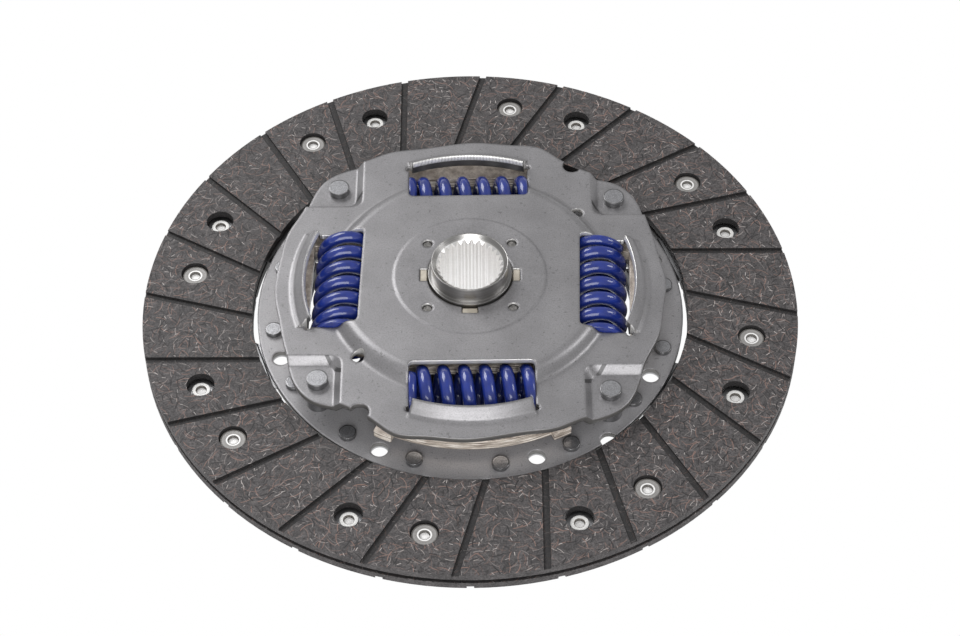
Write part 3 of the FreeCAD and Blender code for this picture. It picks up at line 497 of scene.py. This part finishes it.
def bright_steel():
    finish, tree, shader = node_tree("bright_steel")
    coords = object_coords(tree)
    rings = layers(tree, coords, 20.0, 4000.0, 2.0, 0.5)
    outer = ramp(tree, rings, [(0.3, (0.26, 0.255, 0.25, 1)), (0.7, (0.44, 0.43, 0.42, 1))])
    # Painted light: the bore and its teeth are painted near white.
    painted_light_bore = ramp(tree, rings, [(0.3, (0.90, 0.89, 0.88, 1)), (0.7, (0.98, 0.97, 0.96, 1))])
    outside = window(tree, axis_distance(tree, split_coords(tree, coords)), *BORE_RADIUS)
    coat(tree, shader, blend_colours(tree, outside, painted_light_bore, outer), 0.30, 1.0)
    bump(tree, shader, rings, 0.1, 0.00005, 0.0003)
    return finish


dress(bright_steel(), "hub")


# Damper springs, coiled from 4.5 mm wire with closed and ground ends, and dipped in blue lacquer. Each
# fills a window of both plates and of the flange, and is squeezed there as the hub twists.

SPRING_CIRCLE = 0.0436
SPRING_HEIGHT = 0.0123
SPRING_RADIUS = 0.011
WIRE_RADIUS = 0.00225
SPRING_LENGTH = 0.0422
SPRING_PITCH = 0.007
WINDOW_ANGLE = {1: 90.8, 2: 178.4, 3: 270.8, 4: -1.6}
WIRE_START = {1: 100.0, 2: 113.0, 3: -105.0, 4: 123.0}
END_TRIM = 0.0005
FLAT_TURN = 0.35
WIRE_RINGS = 441
WIRE_SIDES = 32


def coil_surface(angle, start):
    """The skin of the wire on a grid of turns by points round the wire.

    The centre line is a circle of the mean radius, drawn out along the tangent by one pitch a turn and held
    still in the last third of a turn at each end. The wire's round section stands square to it, and what
    would stand past the two planes that the spring is ground to is pressed back into them.
    """
    mean = SPRING_RADIUS - WIRE_RADIUS
    reach = SPRING_LENGTH / 2 - END_TRIM
    turns = 2 * reach / SPRING_PITCH + 2 * FLAT_TURN
    turn = np.linspace(0, turns, WIRE_RINGS)
    closing = np.clip(SPRING_PITCH * (turn - turns / 2), -reach, reach)
    phase = 2 * np.pi * turn + math.radians(start)
    centre = np.stack([mean * np.cos(phase), closing, -mean * np.sin(phase)], axis=1)
    outward = np.stack([np.cos(phase), 0 * phase, -np.sin(phase)], axis=1)
    tangent = np.gradient(centre, turn, axis=0)
    tangent /= np.linalg.norm(tangent, axis=1)[:, None]
    beside = np.cross(tangent, outward)
    round_wire = np.linspace(0, 2 * np.pi, WIRE_SIDES + 1)[:-1]
    skin = (centre[:, None, :]
            + WIRE_RADIUS * np.cos(round_wire)[None, :, None] * outward[:, None, :]
            + WIRE_RADIUS * np.sin(round_wire)[None, :, None] * beside[:, None, :])
    skin[:, :, 1] = np.clip(skin[:, :, 1], -SPRING_LENGTH / 2, SPRING_LENGTH / 2)
    skin[:, :, 0] += SPRING_CIRCLE
    skin[:, :, 2] += SPRING_HEIGHT
    around = math.radians(angle)
    turned = skin.copy()
    turned[:, :, 0] = skin[:, :, 0] * math.cos(around) - skin[:, :, 1] * math.sin(around)
    turned[:, :, 1] = skin[:, :, 0] * math.sin(around) + skin[:, :, 1] * math.cos(around)
    return turned


def tube_mesh(name, skin):
    """A mesh over a grid of rings, closed round each ring and by a point in the middle of each end."""
    rings, sides = skin.shape[:2]
    ends = np.stack([skin[0].mean(axis=0), skin[-1].mean(axis=0)])
    points = np.concatenate([skin.reshape(-1, 3), ends])
    index = np.arange(rings * sides).reshape(rings, sides)
    after = np.roll(index, -1, axis=1)
    quads = np.stack([index[:-1], after[:-1], after[1:], index[1:]], axis=-1).reshape(-1, 4)
    first = np.stack([after[0], index[0], np.full(sides, rings * sides)], axis=-1)
    last = np.stack([index[-1], after[-1], np.full(sides, rings * sides + 1)], axis=-1)
    mesh = bpy.data.meshes.new(name)
    mesh.from_pydata(points.tolist(), [], quads.tolist() + first.tolist() + last.tolist())
    mesh.validate()
    mesh.shade_smooth()
    return mesh


def blue_lacquer():
    finish, tree, shader = node_tree("blue_lacquer")
    grain = speckle(tree, object_coords(tree), 300.0)
    colour = ramp(tree, grain, [(0.3, (0.005, 0.016, 0.14, 1)), (0.7, (0.009, 0.026, 0.21, 1))])
    coat(tree, shader, colour, 0.45)
    shader.inputs["Specular IOR Level"].default_value = 0.25
    shader.inputs["Coat Weight"].default_value = 1.0
    shader.inputs["Coat Roughness"].default_value = 0.05
    return finish


lacquer = blue_lacquer()
for number, angle in WINDOW_ANGLE.items():
    name = "coil_spring_%d" % number
    spring = bpy.data.objects.new(name, tube_mesh(name, coil_surface(angle, WIRE_START[number])))
    bpy.context.scene.collection.objects.link(spring)
    spring.data.materials.append(lacquer)
    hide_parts("damper_spring_%d" % number)
    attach(spring, "damper_springs")
    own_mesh(spring)


# Table, lamps and camera, as in a plain product photograph on white: a white table that shows no shade to
# the camera, a pale room, and three square lamps with soft light, all aimed at the disc.

TABLE_SIZE = 6.0
ROOM_LIGHT = 0.45
LAMP_AIM = (0, 0, 0.01)
LAMPS = [
    ("back_left_softbox", (-0.7, 0.8, 0.95), 0.8, 13.5),
    ("front_softbox", (-0.1, -1.15, 0.72), 1.0, 15.0),
    ("right_softbox", (1.0, 0.1, 0.8), 0.4, 3.5),
]
CAMERA_ELEVATION = math.radians(49.6694)
CAMERA_ROLL = math.radians(-0.1788)
CAMERA_PLACE = (0.00339, -0.5521, 0.6521)
CAMERA_SENSOR = 36.0
CAMERA_LENS = 91.022


def white_stage():
    finish, tree, shader = node_tree("white_table")
    shader.inputs["Base Color"].default_value = (0.9, 0.9, 0.9, 1)
    shader.inputs["Roughness"].default_value = 0.8
    path = place(tree, "ShaderNodeLightPath").outputs
    seen = arithmetic(tree, "MAXIMUM", path["Is Camera Ray"], path["Is Glossy Ray"])
    glow = place(tree, "ShaderNodeEmission", inputs=[("Color", (1, 1, 1, 1)), ("Strength", 1.0)])
    mixed = place(tree, "ShaderNodeMixShader", inputs=[
        (0, seen), (1, shader.outputs[0]), (2, glow.outputs[0]),
    ])
    tree.links.new(mixed.outputs[0], tree.nodes["Material Output"].inputs["Surface"])
    return finish


half = TABLE_SIZE / 2
corners = [(-half, -half, 0), (half, -half, 0), (half, half, 0), (-half, half, 0)]
table_mesh = bpy.data.meshes.new("table")
table_mesh.from_pydata(corners, [], [(0, 1, 2, 3)])
table = bpy.data.objects.new("table", table_mesh)
bpy.context.scene.collection.objects.link(table)
table.data.materials.append(white_stage())

world = bpy.data.worlds.new("studio")
world.use_nodes = True
backdrop = world.node_tree.nodes["Background"]
backdrop.inputs["Color"].default_value = (1, 1, 1, 1)
seen_directly = place(world.node_tree, "ShaderNodeLightPath").outputs["Is Camera Ray"]
room = place(world.node_tree, "ShaderNodeMapRange", inputs=[
    ("Value", seen_directly), ("To Min", ROOM_LIGHT), ("To Max", 1.0),
])
world.node_tree.links.new(room.outputs["Result"], backdrop.inputs["Strength"])
bpy.context.scene.world = world
bpy.context.scene.view_settings.view_transform = "Standard"

for name, where, width, watts in LAMPS:
    lamp = bpy.data.lights.new(name, "AREA")
    lamp.size = width
    lamp.energy = watts
    lamp_object = bpy.data.objects.new(name, lamp)
    lamp_object.location = where
    aim = Vector(LAMP_AIM) - Vector(where)
    lamp_object.rotation_euler = aim.to_track_quat("-Z", "Y").to_euler()
    bpy.context.scene.collection.objects.link(lamp_object)

camera_data = bpy.data.cameras.new("camera")
camera_data.sensor_width = CAMERA_SENSOR
camera_data.lens = CAMERA_LENS
camera = bpy.data.objects.new("camera", camera_data)
level = Vector((1, 0, 0))
upright = Vector((0, math.sin(CAMERA_ELEVATION), math.cos(CAMERA_ELEVATION)))
backward = Vector((0, -math.cos(CAMERA_ELEVATION), math.sin(CAMERA_ELEVATION)))
right = level * math.cos(CAMERA_ROLL) + upright * math.sin(CAMERA_ROLL)
up = upright * math.cos(CAMERA_ROLL) - level * math.sin(CAMERA_ROLL)
turn = Matrix((right, up, backward)).transposed()
camera.matrix_world = Matrix.Translation(CAMERA_PLACE) @ turn.to_4x4()
bpy.context.scene.collection.objects.link(camera)
bpy.context.scene.camera = camera
